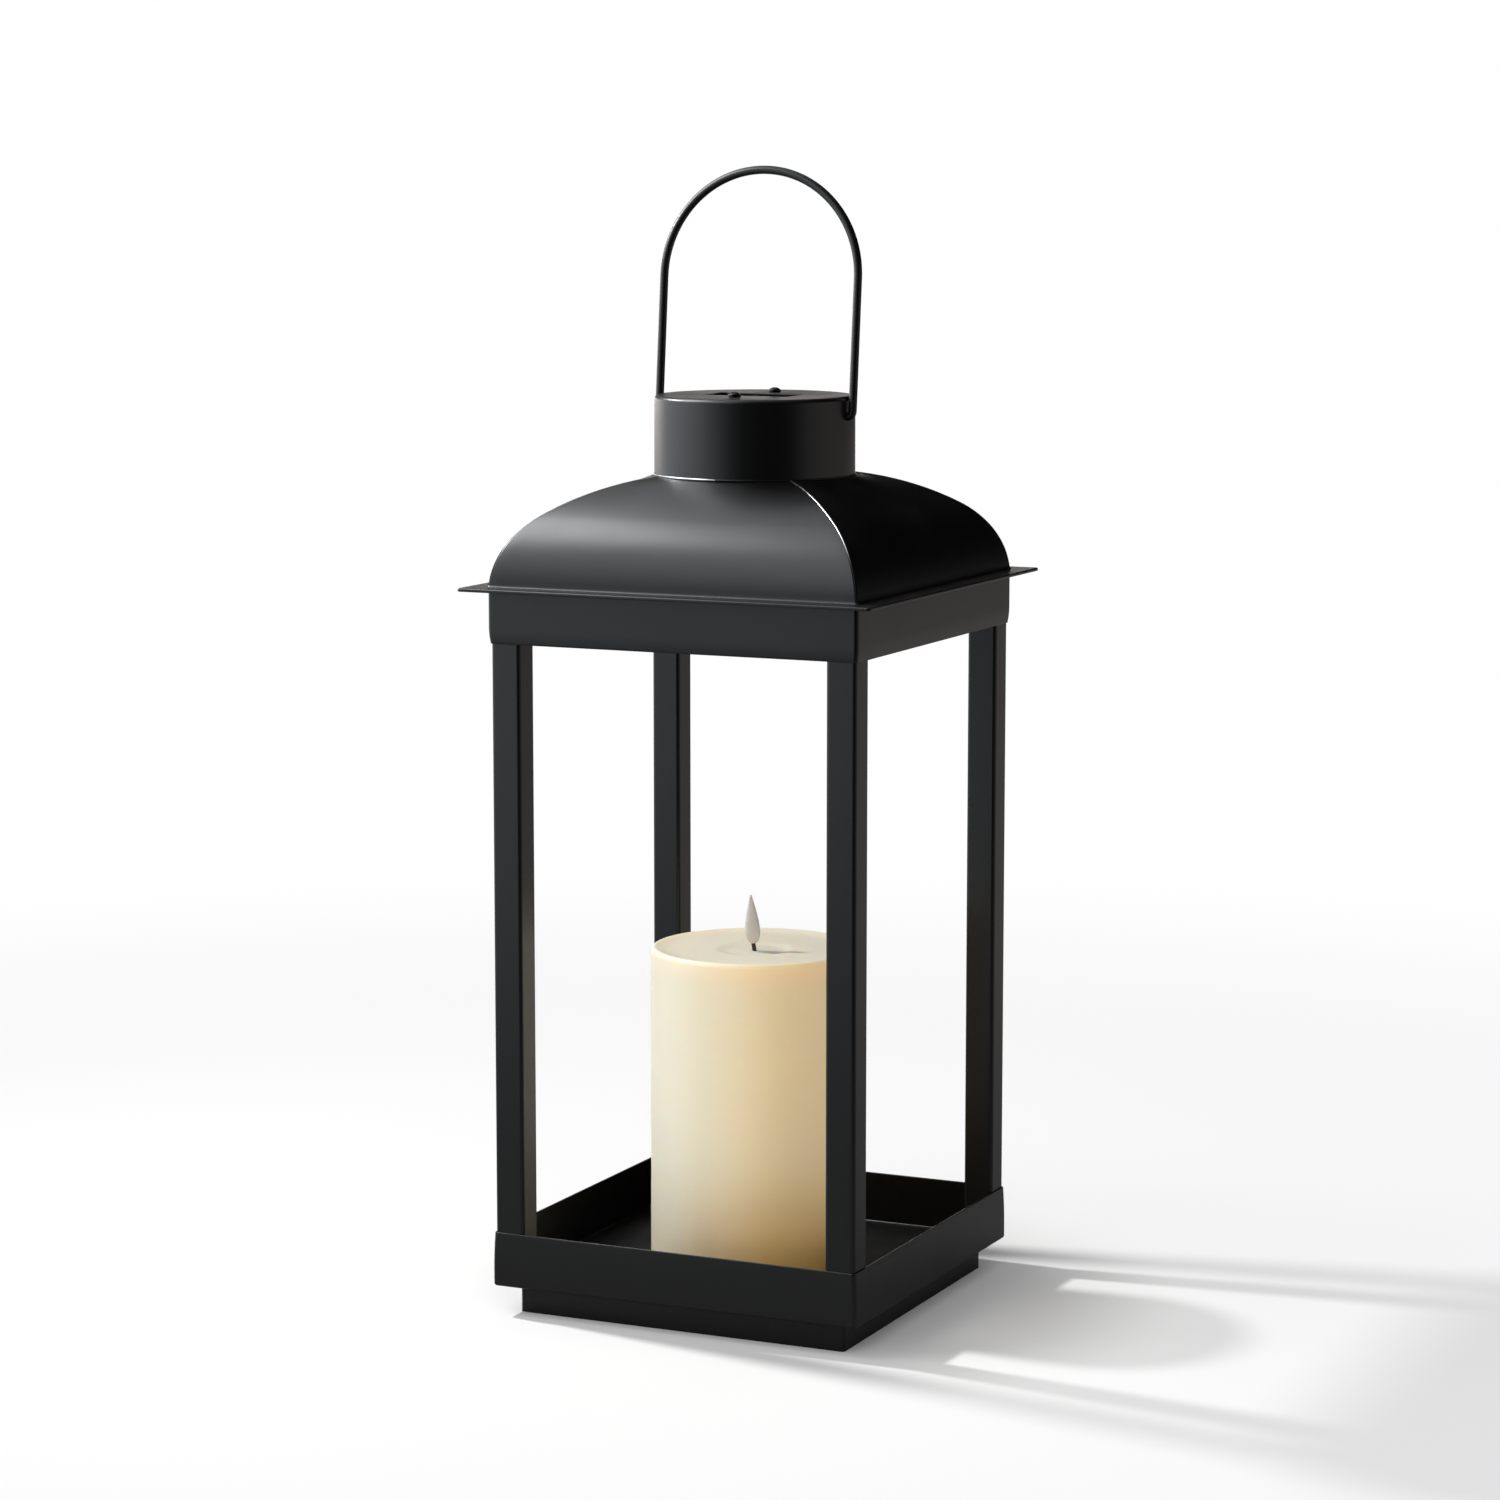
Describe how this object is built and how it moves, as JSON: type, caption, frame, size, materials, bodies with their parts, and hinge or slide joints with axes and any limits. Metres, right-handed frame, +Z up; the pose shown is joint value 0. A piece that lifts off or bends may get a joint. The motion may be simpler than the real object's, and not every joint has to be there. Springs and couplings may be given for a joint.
{
  "type": "candle lantern",
  "caption": "Tall square steel lantern with open sides, hipped roof, round vented cap and wire bail, holding a battery-lit wax pillar candle with a moulded flame.",
  "frame": {"origin": "centre of the foot on the surface that the lantern stands on", "axes": "+Z up; -Y to the front; +X to the right, along the bail's pivot axis"},
  "size_m": [0.211, 0.211, 0.5471],
  "materials": {
    "black_coat": "satin black powder coat",
    "black_wire": "satin black coated wire",
    "black_screw": "glossy black",
    "zinc": "plated",
    "ivory_wax": "soft waxy sheen",
    "ivory_plastic": "fine matt",
    "black_plastic": "fine matt",
    "cell": "satin sleeve",
    "board": "lacquered",
    "wire_cover": "smooth",
    "lamp": "clear",
    "wick": "matt",
    "flame_plastic": "frosted"
  },
  "bodies": {
    "frame": {"base_plinth": "black_coat", "base_tray": "black_coat", "post_front_left": "black_coat", "post_front_right": "black_coat", "post_back_right": "black_coat", "post_back_left": "black_coat", "header_band": "black_coat", "eave_plate": "black_coat", "roof_front": "black_coat", "roof_right": "black_coat", "roof_back": "black_coat", "roof_left": "black_coat", "chimney_cap": "black_coat", "heat_baffle": "black_coat", "cap_screws": "black_screw", "cap_nuts": "zinc"},
    "bail": {"bail_handle": "black_wire"},
    "candle": {"candle_wax": "ivory_wax", "candle_base": "ivory_plastic", "battery_front": "cell", "battery_back": "cell", "contact_springs": "zinc", "contact_plates": "zinc", "switch_body": "black_plastic", "driver_board": "board", "board_screws": "zinc", "stem_tube": "ivory_plastic", "lamp_wires": "wire_cover", "flame_lamp": "lamp", "candle_wick": "wick", "candle_flame": "flame_plastic"},
    "battery_cover": {"battery_cover": "ivory_plastic"},
    "power_switch": {"power_switch": "black_plastic"}
  },
  "joints": [
    {"name": "bail_swing", "type": "hinge", "parent": "frame", "child": "bail", "pos_m": [0, 0, 0.42949], "axis": [1, 0, 0], "range_deg": [-113.4, 123.9]},
    {"name": "candle_lift", "type": "slide", "parent": "frame", "child": "candle", "axis": [0, 0, 1], "range_m": [0, 0.035]},
    {"name": "cover_turn", "type": "hinge", "parent": "candle", "child": "battery_cover", "pos_m": [0, 0, 0.0168], "axis": [0, 0, 1], "range_deg": [0, 25]},
    {"name": "switch_slide", "type": "slide", "parent": "candle", "child": "power_switch", "axis": [1, 0, 0], "range_m": [0, 0.004]}
  ]
}
